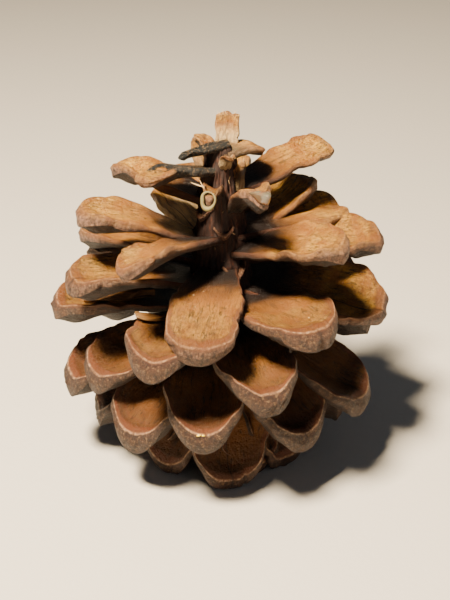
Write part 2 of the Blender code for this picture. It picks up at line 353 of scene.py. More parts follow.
def soft_least(a, b, blend):
    """The lesser of two distances, with the corner between them rounded."""
    return -blend * np.log(np.exp(-a / blend) + np.exp(-b / blend))


class Scale:
    """One seed scale: where it stands, which way it points, and its form."""

    def __init__(self, number):
        lean = SPRUNG.get(number, Lean())
        self.number = number
        self.look = LOOKS.get(number, Look())
        self.angle = math.radians(FRONT_ANGLE + TURN * (number - FRONT_SCALE))
        self.yaw = math.radians(lean.yaw)
        self.pitch = math.radians(float(along(PITCH, number)) + lean.pitch)
        self.roll = math.radians(lean.roll)
        self.radius = float(along(AXIS_RADIUS, number))
        self.height = float(along(ROOT_HEIGHT, number)) + lean.rise
        heading = self.angle + self.yaw
        self.root = np.array(
            (
                AXIS_X + self.radius * math.sin(self.angle),
                AXIS_Y - self.radius * math.cos(self.angle),
                self.height,
            )
        )
        self.outward = np.array(
            (
                math.sin(heading) * math.cos(self.pitch),
                -math.cos(heading) * math.cos(self.pitch),
                math.sin(self.pitch),
            )
        )
        level = np.array((math.cos(heading), math.sin(heading), 0))
        upright = np.cross(self.outward, level)
        self.across = level * math.cos(self.roll) + upright * math.sin(self.roll)
        self.normal = np.cross(self.outward, self.across)
        self.length = float(along(LENGTH, number)) * lean.length
        self.width = float(along(WIDTH, number)) * lean.width
        self.end_depth = float(along(END_DEPTH, number)) * min(lean.width, 1) * lean.depth
        self.cup = float(along(CUP, number)) * lean.cup
        self.bowl = float(along(BOWL, number)) * lean.cup
        self.end_reach = float(along(END_REACH, number))
        self.arch = lean.arch
        self.rounding = lean.rounding
        self.end_width = lean.end_width
        draw = random.Random(number)
        self.wave_phase = draw.uniform(0, 2 * math.pi)
        self.left_lift = draw.uniform(-WAVE, WAVE)
        self.right_lift = draw.uniform(-WAVE, WAVE)

    def half_width(self, t):
        """Half the blade's width at a share t of its length."""
        inner = ROOT_WIDTH_SHARE + (1 - ROOT_WIDTH_SHARE) * eased(-0.1, BROADEST_AT, t)
        outer = 1 - (1 - self.end_width) * (np.maximum(t - BROADEST_AT, 0) / (1 - BROADEST_AT)) ** 2
        return np.where(t < BROADEST_AT, inner, outer) * self.width / 2

    def depth(self, s, t):
        """How deep the blade is, less so at its edges."""
        middle = BLADE_DEPTH + (self.end_depth - BLADE_DEPTH) * eased(DEEPENS_FROM, DEEPENS_TO, t)
        return middle * (1 - (1 - EDGE_DEPTH_SHARE) * s * s * eased(0.4, 0.9, t))

    def local(self, s, t):
        """Across, out and up of points of the plain upper face: s runs -1 to 1 across, t 0 to 1 out."""
        out = t * self.length * (1 - self.rounding * np.abs(s * t) ** 3) - ROOT_SINK * (1 - t)
        lift = np.where(s > 0, self.right_lift, self.left_lift)
        up = (self.cup + lift) * s * s * eased(0.1, 0.8, t)
        up = up + self.arch * 4 * t * (1 - t)
        up = up - self.bowl * (1 - s * s) * eased(0.3, 0.8, t) * (1 - eased(0.85, 1, t))
        up = up + WAVE * 0.5 * np.sin(7 * t + self.wave_phase) * s * t
        return s * self.half_width(t), out, up

    def place(self, across, out, up):
        """Points in the object's frame from distances along the blade's own three directions."""
        sides = (across, self.across), (out, self.outward), (up, self.normal)
        return self.root + sum(np.asarray(size)[..., None] * direction for size, direction in sides)

    def rim_distance(self, s, t):
        """How far in from the rim a point of the upper face is, with the sides counted as nearer."""
        from_tip = (1 - t) * self.length
        from_side = (1 - np.abs(s)) * self.half_width(t) * (1.6 + 7 * (1 - eased(0.4, 0.75, t)))
        return np.maximum(soft_least(from_tip, from_side, 0.35), 0)

    def surface(self, s, t, q):
        """Across, out and up of points of the finished blade: q is 0 on top and 1 on the underside."""
        draw = random.Random(1000 + self.number)
        across, out, up = self.local(s, t)
        depth = self.depth(s, t)
        small = min(1, self.length / 12)
        keel = np.where(q < RIDGE_DROP, q / RIDGE_DROP, (1 - q) / (1 - RIDGE_DROP))
        at_end = eased(0.92, 1, t)
        rim = self.rim_distance(s, t)
        walls = np.sin(math.pi * q)

        # The rim bevels down, and the face inside it is wrinkled, creased and folded
        up = up - BEVEL_DROP * small * (1 - q) * (1 - eased(0, BAND_WIDTH, rim)) * eased(0.3, 0.6, t)
        on_top = (1 - q) * eased(0.15, 0.5, t)
        up = up + WRINKLE * small * ripple(draw, across, out, 6) * on_top
        folds = np.abs(ripple(draw, across, out, 11, 3)) * eased(0.3, 0.8, t)
        up = up + self.look.fold * (folds - 0.6)
        middle = np.exp(-((across / 0.5) ** 2)) * eased(0.2, 0.5, t) * (1 - eased(0.84, 0.94, t))
        up = up - CREASE_DEPTH * middle * (1 - q)

        # The end face has a ridge across it, a small worn knob and a rough skin
        out = out + q * self.end_reach * eased(0.8, 1, t)
        out = out + RIDGE_OUT * (1 - 0.5 * s * s) * keel**0.9 * at_end
        from_umbo = (across**2 + ((q - RIDGE_DROP) * depth) ** 2) / UMBO_RADIUS**2
        out = out + UMBO_HEIGHT * small * np.exp(-from_umbo) * at_end
        out = out + END_ROUGHNESS * ripple(draw, across, q * depth * 1.5, 1.7) * walls * at_end
        across = across + EDGE_BULGE * np.sign(s) * np.abs(s) ** 8 * walls

        # The underside is fibrous along its length
        fibres = ripple(draw, across * 4, out * 0.7, 6)
        up = up - q * depth - FIBRE_RELIEF * fibres * q * eased(0, 0.2, t) * (1 - at_end)

        # Edges wander, and are chipped here and there
        for side in (-1, 1):
            near = np.clip(s * side, 0, 1) ** 4 * eased(0.05, 0.3, t)
            wander = EDGE_WAVE * small * ripple(draw, out, 0, 4, 4)
            for _ in range(draw.choice((0, 1, 1, 2, 3))):
                centre = draw.uniform(0.4, 0.92) * self.length
                spread = draw.uniform(0.35, 0.8)
                bite = draw.uniform(0.2, 0.55) * small
                wander = wander - bite * np.exp(-(((out - centre) / spread) ** 2))
            across = across + side * near * wander
        tip_wander = EDGE_WAVE * small * ripple(draw, across, 0, 5, 4)
        for _ in range(draw.choice((0, 0, 1, 1, 2))):
            centre = draw.uniform(-0.8, 0.8) * self.width / 2
            spread = draw.uniform(0.3, 0.7)
            bite = draw.uniform(0.15, 0.4) * small
            tip_wander = tip_wander - bite * np.exp(-(((across - centre) / spread) ** 2))
        out = out + tip_wander * t**10
        return across, out, up


def quads(grid):
    """Four corners for each cell of a grid of vertex numbers."""
    corners = grid[:-1, :-1], grid[1:, :-1], grid[1:, 1:], grid[:-1, 1:]
    return np.stack(corners, axis=-1).reshape(-1, 4)


def block_grid(rows, columns, levels):
    """Vertex numbers of a block's outside, as (row, column, level), and its faces, turned outwards."""
    numbers = np.full((rows, columns, levels), -1)
    outside = np.ones(numbers.shape, bool)
    outside[1:-1, 1:-1, 1:-1] = False
    numbers[outside] = np.arange(outside.sum())
    faces = [
        quads(numbers[:, :, 0]),
        quads(numbers[:, :, -1])[:, ::-1],
        quads(numbers[:, 0, :])[:, ::-1],
        quads(numbers[:, -1, :]),
        quads(numbers[0, :, :]),
        quads(numbers[-1, :, :])[:, ::-1],
    ]
    return outside, np.concatenate(faces)


def mesh_from(name, points_mm, faces, attributes=None, smooth=True):
    """A mesh in metres from points in millimetres, with named attributes on its points."""
    mesh = bpy.data.meshes.new(name)
    mesh.from_pydata((np.asarray(points_mm) * MM).tolist(), [], [list(map(int, face)) for face in faces])
    for label, values in (attributes or {}).items():
        values = np.asarray(values, np.float32)
        kind, field = ("FLOAT", "value") if values.ndim == 1 else ("FLOAT_VECTOR", "vector")
        mesh.attributes.new(label, kind, "POINT").data.foreach_set(field, values.ravel())
    if smooth:
        mesh.shade_smooth()
    return mesh


def object_from(name, mesh, material=None):
    """An object of a mesh, linked to the scene, with its finish if one is given."""
    made = bpy.data.objects.new(name, mesh)
    bpy.context.scene.collection.objects.link(made)
    if material:
        mesh.materials.clear()
        mesh.materials.append(material)
    return made


def finish_piece(piece, replaced=()):
    """Joins a piece to the cone's only body, names its finish and what it stands for."""
    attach(piece, "root")
    if replaced:
        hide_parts(*replaced)


def linear(hex_colour):
    """An sRGB hex colour as linear red, green, blue and an alpha of 1."""
    channels = [int(hex_colour[i : i + 2], 16) / 255 for i in (1, 3, 5)]
    values = [c / 12.92 if c <= 0.04045 else ((c + 0.055) / 1.055) ** 2.4 for c in channels]
    return (*values, 1.0)


def add(tree, kind, inputs=None, output=0, **settings):
    """Adds a node with its settings, fills or links its inputs, and gives back one output."""
    node = tree.nodes.new(kind)
    for label, value in settings.items():
        setattr(node, label, value)
    for key, value in (inputs or {}).items():
        if isinstance(value, bpy.types.NodeSocket):
            tree.links.new(value, node.inputs[key])
        else:
            node.inputs[key].default_value = value
    return node.outputs[output]


def blank_material(name):
    """A new material's tree and its Principled shader."""
    material = bpy.data.materials.new(name)
    material.use_nodes = True
    return material, material.node_tree, material.node_tree.nodes["Principled BSDF"]


# Settings that many nodes share: a mix of two colours, which comes out third, and a smooth range
BLEND = {"output": 2, "data_type": "RGBA"}
SMOOTH = {"interpolation_type": "SMOOTHSTEP"}

# Colours of the cone, as sRGB hex values
COLOURS = {
    "honey": ("Upper face", "#B47820"),
    "straw": ("Upper face, paler patches", "#E2AC44"),
    # Amber serves the darker smudges, and also the darkening towards the root, which is partly painted shade
    "amber": ("Upper face, towards the root", "#985E22"),
    # Darker: partly the lowest scales' own colour and partly painted shade
    "aged": ("Upper face of the lowest scales", "#533019"),
    "grain": ("Lengthwise grain", "#4E2E12"),
    # Near black: partly the wood's colour at the root and partly painted shade in the recess by the axis;
    # also used for veins, cracks and dark fibres
    "root": ("Root of the scale", "#140906"),
    "terracotta": ("Band inside the rim", "#683520"),
    "rim": ("Worn rim line", "#D0A580"),
    # Paler than the wood alone: partly the tips' own colour and partly painted sheen
    "knob": ("Rounded tips near the top", "#B0836A"),
    "end": ("Blunt end face", "#6E4529"),
    # Also darkens the end faces of the lower scales, partly as painted shade
    "end_dark": ("Blunt end face, darker patches", "#25140C"),
    "bloom": ("Greyish bloom on edges", "#A5845E"),
    "under": ("Underside", "#38200F"),
    "stain": ("Grey-green staining", "#14181A"),
    # Cream also paints the pale specks on the upper face, which are partly painted glints
    "cream": ("Bleached fibres", "#CDB080"),
    "bark": ("Axis", "#200C06"),
    "bark_light": ("Axis, raised fibres", "#4A2412"),
    "wing": ("Seed wing", "#8A5E30"),
    "wing_vein": ("Seed wing, veins", "#2E1A0C"),
    "resin": ("Dried resin", "#5C574A"),
    "pith": ("Pale ring of a broken stub", "#6C6540"),
    "fleck": ("Yellow resin flecks", "#D6B428"),
    "floor": ("Floor", "#C6C1B9"),
}


def scale_material(colours, sizes):
    """Seed scale of a cone, dry wood fibre with a thin skin, weathered outdoors.

    Upper face: satin, honey-coloured, with lengthwise grain and fine specks, browner towards
    the root. A terracotta band runs inside the rim, sharp on the lower scales and blurred
    near the tip. The end face is duller, brown and mottled, the underside dark.
    """
    material, tree, shader = blank_material("sun_dried_cone_scale")
    place = add(tree, "ShaderNodeAttribute", output="Vector", attribute_name="place")
    place = add(tree, "ShaderNodeSeparateXYZ", {0: place}).node.outputs
    share_out, level = place[1], place[2]
    rim = add(tree, "ShaderNodeAttribute", output="Fac", attribute_name="rim_mm")
    blade = add(tree, "ShaderNodeAttribute", output="Vector", attribute_name="blade_mm")
    tone = add(tree, "ShaderNodeAttribute", output="Vector", attribute_name="tone")
    tone = add(tree, "ShaderNodeSeparateXYZ", {0: tone}).node.outputs
    crack = add(tree, "ShaderNodeAttribute", output="Vector", attribute_name="crack")
    crack = add(tree, "ShaderNodeSeparateXYZ", {0: crack}).node.outputs
    crisp = add(tree, "ShaderNodeAttribute", output="Fac", attribute_name="crisp")

    # Patterns, scaled by their cycles per millimetre: grain 0.36 mm wide, patches 3 mm, specks 0.5 mm
    stretched = add(tree, "ShaderNodeVectorMath", {0: blade, 1: (2.8, 0.25, 2.8)}, operation="MULTIPLY")
    grain = add(tree, "ShaderNodeTexNoise", {"Vector": stretched, "Scale": 1, "Detail": 5, "Roughness": 0.65})
    patches = add(tree, "ShaderNodeTexNoise", {"Vector": blade, "Scale": 0.33, "Detail": 4, "Roughness": 0.6})
    specks = add(tree, "ShaderNodeTexNoise", {"Vector": blade, "Scale": 1.9, "Detail": 5, "Roughness": 0.8})
    squashed = add(tree, "ShaderNodeVectorMath", {0: blade, 1: (1.6, 1.6, 0.6)}, operation="MULTIPLY")
    streaks = add(tree, "ShaderNodeTexNoise", {"Vector": squashed, "Scale": 1, "Detail": 6, "Roughness": 0.7})
    drawn_out = add(tree, "ShaderNodeVectorMath", {0: blade, 1: (0.9, 0.09, 0.9)}, operation="MULTIPLY")
    veins = add(tree, "ShaderNodeTexNoise", {"Vector": drawn_out, "Scale": 1, "Detail": 3, "Roughness": 0.55})
    veins = add(tree, "ShaderNodeMath", {0: veins, 1: 0.5}, operation="SUBTRACT")
    veins = add(tree, "ShaderNodeMath", {0: veins}, operation="ABSOLUTE")
    veins = add(tree, "ShaderNodeMapRange", {0: veins, 1: 0.03, 2: 0.0, 4: 0.85})
    vein_reach = add(tree, "ShaderNodeMapRange", {0: patches, 1: 0.42, 2: 0.56})
    veins = add(tree, "ShaderNodeMath", {0: veins, 1: vein_reach}, operation="MULTIPLY")
    uneven_rim = add(tree, "ShaderNodeMath", {0: streaks, 1: 1.1, 2: rim}, operation="MULTIPLY_ADD")
    uneven_rim = add(tree, "ShaderNodeMath", {0: patches, 1: 1.6, 2: uneven_rim}, operation="MULTIPLY_ADD")
    rings = add(tree, "ShaderNodeCombineXYZ", {0: uneven_rim, 1: 0.0, 2: 0.0})
    rings = add(tree, "ShaderNodeTexNoise", {"Vector": rings, "Scale": 1.5, "Detail": 3, "Roughness": 0.6})

    # Upper face: honey and straw patches, grain and specks, some pale specks partly granules and partly
    # painted glints
    patchy = add(tree, "ShaderNodeMapRange", {0: patches, 1: 0.35, 2: 0.68}, **SMOOTH)
    face = add(tree, "ShaderNodeMix", {0: patchy, 6: colours["honey"], 7: colours["straw"]}, **BLEND)
    grainy = add(tree, "ShaderNodeMapRange", {0: grain, 1: 0.45, 2: 0.67, 4: 0.65})
    face = add(tree, "ShaderNodeMix", {0: grainy, 6: face, 7: colours["grain"]}, **BLEND)
    speckled = add(tree, "ShaderNodeMapRange", {0: specks, 1: 0.5, 2: 0.64, 4: 0.8})
    face = add(tree, "ShaderNodeMix", {0: speckled, 6: face, 7: colours["grain"]}, **BLEND)
    # Pale cream specks: partly pale granules of the skin and partly painted glints
    pale_specks_and_glints = add(tree, "ShaderNodeMapRange", {0: specks, 1: 0.46, 2: 0.34, 4: 0.5})
    face = add(tree, "ShaderNodeMix", {0: pale_specks_and_glints, 6: face, 7: colours["cream"]}, **BLEND)
    smudged = add(tree, "ShaderNodeMapRange", {0: patches, 1: 0.46, 2: 0.36, 4: 0.5})
    face = add(tree, "ShaderNodeMix", {0: smudged, 6: face, 7: colours["amber"]}, **BLEND)

    # Lower scales are redder and darker, partly their own colour and partly painted shade
    aged = add(tree, "ShaderNodeMath", {0: crisp, 1: 0.93}, operation="MULTIPLY")
    face = add(tree, "ShaderNodeMix", {0: aged, 6: face, 7: colours["aged"]}, **BLEND)
    # Every scale turns brown and then near black towards its root, partly the wood's own colour and partly
    # painted shade in the recess by the axis; broken stubs are that dark all over
    uneven = add(tree, "ShaderNodeMath", {0: patches, 1: 0.3, 2: share_out}, operation="MULTIPLY_ADD")
    amber = add(tree, "ShaderNodeMapRange", {0: uneven, 1: 1.05, 2: 0.5, 4: 0.85}, **SMOOTH)
    face = add(tree, "ShaderNodeMix", {0: amber, 6: face, 7: colours["amber"]}, **BLEND)
    rooted_and_shaded = add(tree, "ShaderNodeMapRange", {0: uneven, 1: 0.8, 2: 0.4}, **SMOOTH)
    rooted_and_shaded = add(tree, "ShaderNodeMath", {0: rooted_and_shaded, 1: tone[2]}, operation="MAXIMUM")
    face = add(tree, "ShaderNodeMix", {0: rooted_and_shaded, 6: face, 7: colours["root"]}, **BLEND)

    # Growth lines run along the rim of the lower scales, and dark veins along every scale
    in_reach = add(tree, "ShaderNodeMapRange", {0: rim, 1: 4.5, 2: 1.5}, **SMOOTH)
    ringed = add(tree, "ShaderNodeMapRange", {0: rings, 1: 0.5, 2: 0.62, 4: 0.75})
    ringed = add(tree, "ShaderNodeMath", {0: ringed, 1: in_reach}, operation="MULTIPLY")
    ringed = add(tree, "ShaderNodeMath", {0: ringed, 1: crisp}, operation="MULTIPLY")
    face = add(tree, "ShaderNodeMix", {0: ringed, 6: face, 7: colours["terracotta"]}, **BLEND)
    face = add(tree, "ShaderNodeMix", {0: veins, 6: face, 7: colours["root"]}, **BLEND)

    # Band inside the rim, with a darker line where it starts
    wander = add(tree, "ShaderNodeMath", {0: patches, 1: 1.6, 2: rim}, operation="MULTIPLY_ADD")
    wander = add(tree, "ShaderNodeMath", {0: specks, 1: 0.5, 2: wander}, operation="MULTIPLY_ADD")
    mean_wander = 0.5 * 1.6 + 0.5 * 0.5
    band_start = sizes.band_width / MM + mean_wander
    banded = add(tree, "ShaderNodeMapRange", {0: wander, 1: band_start + 0.25, 2: band_start - 0.3})
    strength = add(tree, "ShaderNodeMapRange", {0: crisp, 3: 0.35, 4: 0.85})
    banded = add(tree, "ShaderNodeMath", {0: banded, 1: strength}, operation="MULTIPLY")
    band = add(tree, "ShaderNodeMapRange", {0: specks, 1: 0.42, 2: 0.6, 4: 0.8})
    band = add(tree, "ShaderNodeMix", {0: band, 6: colours["terracotta"], 7: colours["end"]}, **BLEND)
    face = add(tree, "ShaderNodeMix", {0: banded, 6: face, 7: band}, **BLEND)
    from_line = add(tree, "ShaderNodeMath", {0: wander, 1: band_start}, operation="SUBTRACT")
    from_line = add(tree, "ShaderNodeMath", {0: from_line}, operation="ABSOLUTE")
    lined = add(tree, "ShaderNodeMapRange", {0: from_line, 1: 0.3, 2: 0.05, 4: 0.6})
    lined = add(tree, "ShaderNodeMath", {0: lined, 1: crisp}, operation="MULTIPLY")
    face = add(tree, "ShaderNodeMix", {0: lined, 6: face, 7: colours["grain"]}, **BLEND)

    # End face: brown, reddish under the rim, mottled and streaked, darker on the lower scales
    # The rounded tips near the top are paler, partly their own colour and partly painted sheen
    rounded = add(tree, "ShaderNodeMapRange", {0: crisp, 1: 0.8, 2: 0.2, 4: 0.85})
    end = add(tree, "ShaderNodeMix", {0: rounded, 6: colours["end"], 7: colours["knob"]}, **BLEND)
    lowered = add(tree, "ShaderNodeMath", {0: patches, 1: 0.5, 2: level}, operation="MULTIPLY_ADD")
    reddish = add(tree, "ShaderNodeMapRange", {0: lowered, 1: 0.62, 2: 0.36, 4: 0.7})
    end = add(tree, "ShaderNodeMix", {0: reddish, 6: end, 7: colours["terracotta"]}, **BLEND)
    # The lower scales' end faces are darkened, partly their own colour and partly painted shade
    aged_and_shaded_end = add(tree, "ShaderNodeMath", {0: crisp, 1: 0.68}, operation="MULTIPLY")
    end = add(tree, "ShaderNodeMix", {0: aged_and_shaded_end, 6: end, 7: colours["end_dark"]}, **BLEND)
    streaky = add(tree, "ShaderNodeMapRange", {0: streaks, 1: 0.42, 2: 0.62, 4: 0.8})
    end = add(tree, "ShaderNodeMix", {0: streaky, 6: end, 7: colours["end_dark"]}, **BLEND)
    blotched = add(tree, "ShaderNodeMapRange", {0: specks, 1: 0.48, 2: 0.62, 4: 0.65})
    end = add(tree, "ShaderNodeMix", {0: blotched, 6: end, 7: colours["end_dark"]}, **BLEND)
    bloomy = add(tree, "ShaderNodeMapRange", {0: specks, 1: 0.46, 2: 0.36, 4: 0.45})
    end = add(tree, "ShaderNodeMix", {0: bloomy, 6: end, 7: colours["bloom"]}, **BLEND)

    # Underside and the inner walls: dark and fibrous
    fibrous = add(tree, "ShaderNodeMapRange", {0: grain, 1: 0.4, 2: 0.65})
    under = add(tree, "ShaderNodeMix", {0: fibrous, 6: colours["root"], 7: colours["under"]}, **BLEND)
    near_end = add(tree, "ShaderNodeMapRange", {0: uneven, 1: 0.7, 2: 1.05}, **SMOOTH)
    wall = add(tree, "ShaderNodeMix", {0: near_end, 6: under, 7: end}, **BLEND)
    below = add(tree, "ShaderNodeMapRange", {0: level, 1: 0.93, 2: 1.0}, **SMOOTH)
    outside = add(tree, "ShaderNodeMix", {0: below, 6: wall, 7: under}, **BLEND)
    blurred = add(tree, "ShaderNodeMapRange", {0: crisp, 3: -1.6, 4: -0.12})
    over_rim = add(tree, "ShaderNodeMapRange", {0: wander, 1: -0.6, 2: 1.1})
    sharp = add(tree, "ShaderNodeMapRange", {0: rim, 1: blurred, 2: 0.0})
    over_rim = add(tree, "ShaderNodeMath", {0: over_rim, 1: sharp}, operation="MINIMUM")
    colour = add(tree, "ShaderNodeMix", {0: over_rim, 6: outside, 7: face}, **BLEND)

    # Worn pale line along the rim
    from_rim = add(tree, "ShaderNodeMath", {0: rim}, operation="ABSOLUTE")
    worn = add(tree, "ShaderNodeMapRange", {0: from_rim, 1: 0.28, 2: 0.06, 4: 0.9})
    worn = add(tree, "ShaderNodeMath", {0: worn, 1: near_end}, operation="MULTIPLY")
    worn = add(tree, "ShaderNodeMath", {0: worn, 1: crisp}, operation="MULTIPLY")
    rubbed = add(tree, "ShaderNodeMapRange", {0: streaks, 1: 0.42, 2: 0.58, 3: 0.25})
    worn = add(tree, "ShaderNodeMath", {0: worn, 1: rubbed}, operation="MULTIPLY")
    nicked = add(tree, "ShaderNodeMapRange", {0: specks, 1: 0.58, 2: 0.46, 3: 0.3})
    worn = add(tree, "ShaderNodeMath", {0: worn, 1: nicked}, operation="MULTIPLY")
    colour = add(tree, "ShaderNodeMix", {0: worn, 6: colour, 7: colours["rim"]}, **BLEND)

    # What is special about single scales: bleached, stained, cracked
    before_tip = add(tree, "ShaderNodeMapRange", {0: uneven, 1: 0.98, 2: 0.78})
    bleached = add(tree, "ShaderNodeMath", {0: tone[0], 1: before_tip}, operation="MULTIPLY")
    fibre = add(tree, "ShaderNodeMix", {0: grainy, 6: colours["cream"], 7: colours["grain"]}, **BLEND)
    colour = add(tree, "ShaderNodeMix", {0: bleached, 6: colour, 7: fibre}, **BLEND)
    stained = add(tree, "ShaderNodeMath", {0: tone[1], 1: 1.8, 2: patches}, operation="MULTIPLY_ADD")
    stained = add(tree, "ShaderNodeMath", {0: stained, 1: share_out}, operation="SUBTRACT")
    stained = add(tree, "ShaderNodeMapRange", {0: stained, 1: 0.8, 2: 0.9})
    dusty = add(tree, "ShaderNodeMapRange", {0: specks, 1: 0.47, 2: 0.36, 4: 0.6})
    stain = add(tree, "ShaderNodeMix", {0: dusty, 6: colours["stain"], 7: colours["bloom"]}, **BLEND)
    colour = add(tree, "ShaderNodeMix", {0: stained, 6: colour, 7: stain}, **BLEND)
    off_crack = add(tree, "ShaderNodeMath", {0: crack[0]}, operation="ABSOLUTE")
    cracked = add(tree, "ShaderNodeMapRange", {0: off_crack, 1: 0.2, 2: 0.04})
    cracked = add(tree, "ShaderNodeMath", {0: cracked, 1: crack[1]}, operation="MULTIPLY")
    colour = add(tree, "ShaderNodeMix", {0: cracked, 6: colour, 7: colours["root"]}, **BLEND)
    tree.links.new(colour, shader.inputs["Base Color"])

    # Satin on top, dull on the ends and below
    rough = add(tree, "ShaderNodeMapRange", {0: rim, 1: -0.2, 2: 0.6, 3: 0.45, 4: 0.26})
    rough = add(tree, "ShaderNodeMath", {0: specks, 1: 0.2, 2: rough}, operation="MULTIPLY_ADD")
    tree.links.new(rough, shader.inputs["Roughness"])

    # Relief: lengthwise grain and a granular skin
    fine = add(tree, "ShaderNodeBump", {"Height": grain, "Distance": GRAIN_RELIEF * MM})
    skin = add(tree, "ShaderNodeMath", {0: specks, 1: streaks}, operation="ADD")
    coarse = add(tree, "ShaderNodeBump", {"Height": skin, "Distance": SKIN_RELIEF * MM, "Normal": fine})
    tree.links.new(coarse, shader.inputs["Normal"])
    shader.inputs["IOR"].default_value = 1.5
    return material


def bark_material(colours):
    """Axis of a cone, woody bark torn where scales sprang open: dark red-brown, dull and fibrous."""
    material, tree, shader = blank_material("fibrous_cone_axis")
    position = add(tree, "ShaderNodeTexCoord", output="Object")
    stretched = add(tree, "ShaderNodeVectorMath", {0: position, 1: (2200, 2200, 300)}, operation="MULTIPLY")
    settings = {"Vector": stretched, "Scale": 1, "Detail": 5, "Roughness": 0.65}
    fibres = add(tree, "ShaderNodeTexNoise", settings)
    light = add(tree, "ShaderNodeMapRange", {0: fibres, 1: 0.5, 2: 0.72})
    colour = add(tree, "ShaderNodeMix", {0: light, 6: colours["bark"], 7: colours["bark_light"]}, **BLEND)
    tree.links.new(colour, shader.inputs["Base Color"])
    bump = add(tree, "ShaderNodeBump", {"Height": fibres, "Distance": 0.15 * MM})
    tree.links.new(bump, shader.inputs["Normal"])
    shader.inputs["Roughness"].default_value = 0.75
    return material


def wing_material(colours):
    """Seed wing, a papery film: thin, warm brown, with dark veins that meet at the seed."""
    material, tree, shader = blank_material("papery_seed_wing")
    veins = add(tree, "ShaderNodeAttribute", output="Vector", attribute_name="vein_place")
    parts = add(tree, "ShaderNodeSeparateXYZ", {0: veins}).node.outputs
    stretched = add(tree, "ShaderNodeVectorMath", {0: veins, 1: (9, 1.2, 1)}, operation="MULTIPLY")
    lines = add(tree, "ShaderNodeTexNoise", {"Vector": stretched, "Scale": 1, "Detail": 4, "Roughness": 0.7})
    veined = add(tree, "ShaderNodeMapRange", {0: lines, 1: 0.47, 2: 0.6})
    colour = add(tree, "ShaderNodeMix", {0: veined, 6: colours["wing"], 7: colours["wing_vein"]}, **BLEND)
    tipped = add(tree, "ShaderNodeMapRange", {0: parts[1], 1: 0.7, 2: 1.0, 4: 0.2})
    tipped = add(tree, "ShaderNodeMath", {0: tipped, 1: parts[2]}, operation="MULTIPLY")
    colour = add(tree, "ShaderNodeMix", {0: tipped, 6: colour, 7: colours["cream"]}, **BLEND)
    tree.links.new(colour, shader.inputs["Base Color"])
    bump = add(tree, "ShaderNodeBump", {"Height": lines, "Distance": 0.08 * MM})
    tree.links.new(bump, shader.inputs["Normal"])
    shader.inputs["Roughness"].default_value = 0.45
    return material


def resin_material(colours):
    """Dried pine resin, a clouded drop: hard, glossy, grey, with light spreading inside it."""
    material, tree, shader = blank_material("clouded_pine_resin")
    position = add(tree, "ShaderNodeTexCoord", output="Object")
    clouds = add(tree, "ShaderNodeTexNoise", {"Vector": position, "Scale": 700, "Detail": 3})
    cloudy = add(tree, "ShaderNodeMapRange", {0: clouds, 1: 0.4, 2: 0.65})
    colour = add(tree, "ShaderNodeMix", {0: cloudy, 6: colours["resin"], 7: colours["end"]}, **BLEND)
    tree.links.new(colour, shader.inputs["Base Color"])
    bump = add(tree, "ShaderNodeBump", {"Height": clouds, "Distance": 0.1 * MM})
    tree.links.new(bump, shader.inputs["Normal"])
    shader.inputs["Roughness"].default_value = 0.08
    shader.inputs["IOR"].default_value = 1.54
    shader.inputs["Coat Weight"].default_value = 0.8
    shader.inputs["Coat Roughness"].default_value = 0.05
    shader.inputs["Subsurface Weight"].default_value = 0.15
    shader.inputs["Subsurface Radius"].default_value = (1.0 * MM, 0.7 * MM, 0.4 * MM)
    shader.inputs["Subsurface Scale"].default_value = 1.0
    return material


def torn_fibre_material(colours):
    """Torn wood fibres, dull and dry: bark brown on the axis, pale where they tore lately."""
    material, tree, shader = blank_material("torn_wood_fibre")
    paleness = add(tree, "ShaderNodeAttribute", output="Fac", attribute_name="tint")
    colour = add(tree, "ShaderNodeMix", {0: paleness, 6: colours["bark_light"], 7: colours["cream"]}, **BLEND)
    tree.links.new(colour, shader.inputs["Base Color"])
    shader.inputs["Roughness"].default_value = 0.8
    return material


def pith_material(colours):
    """Pith in a broken stub, soft and cork-like: pale greenish yellow, dull."""
    material, tree, shader = blank_material("corky_pith")
    position = add(tree, "ShaderNodeTexCoord", output="Object")
    spots = add(tree, "ShaderNodeTexNoise", {"Vector": position, "Scale": 2500, "Detail": 3})
    spotted = add(tree, "ShaderNodeMapRange", {0: spots, 1: 0.5, 2: 0.7, 4: 0.6})
    colour = add(tree, "ShaderNodeMix", {0: spotted, 6: colours["pith"], 7: colours["end"]}, **BLEND)
    tree.links.new(colour, shader.inputs["Base Color"])
    shader.inputs["Roughness"].default_value = 0.7
    return material


def fleck_material(colours):
    """Flecks of dried resin, glossy grains: grey-white, or yellow where they are fresh."""
    material, tree, shader = blank_material("dried_resin_fleck")
    yellowness = add(tree, "ShaderNodeAttribute", output="Fac", attribute_name="tint")
    colour = add(tree, "ShaderNodeMix", {0: yellowness, 6: colours["cream"], 7: colours["fleck"]}, **BLEND)
    tree.links.new(colour, shader.inputs["Base Color"])
    shader.inputs["Roughness"].default_value = 0.25
    shader.inputs["IOR"].default_value = 1.54
    return material


def floor_material(colours):
    """Matt backdrop paper, pale and even, with a faint tooth."""
    material, tree, shader = blank_material("matt_backdrop_paper")
    position = add(tree, "ShaderNodeTexCoord", output="Object")
    tooth = add(tree, "ShaderNodeTexNoise", {"Vector": position, "Scale": 900, "Detail": 2})
    bump = add(tree, "ShaderNodeBump", {"Height": tooth, "Distance": 0.05 * MM})
    tree.links.new(bump, shader.inputs["Normal"])
    shader.inputs["Base Color"].default_value = colours["floor"]
    shader.inputs["Roughness"].default_value = 0.9
    return material


def colours_of(context):
    """The colours that the user has set, by name."""
    group = context.scene.pine_cone_colours
    return {name: tuple(getattr(group, name)) for name in COLOURS}


def cubic_spread(count, crowding):
    """Numbers from -1 to 1, closer together towards both ends."""
    u = np.linspace(-1, 1, count)
    return u * (1 + crowding) - crowding * u**3


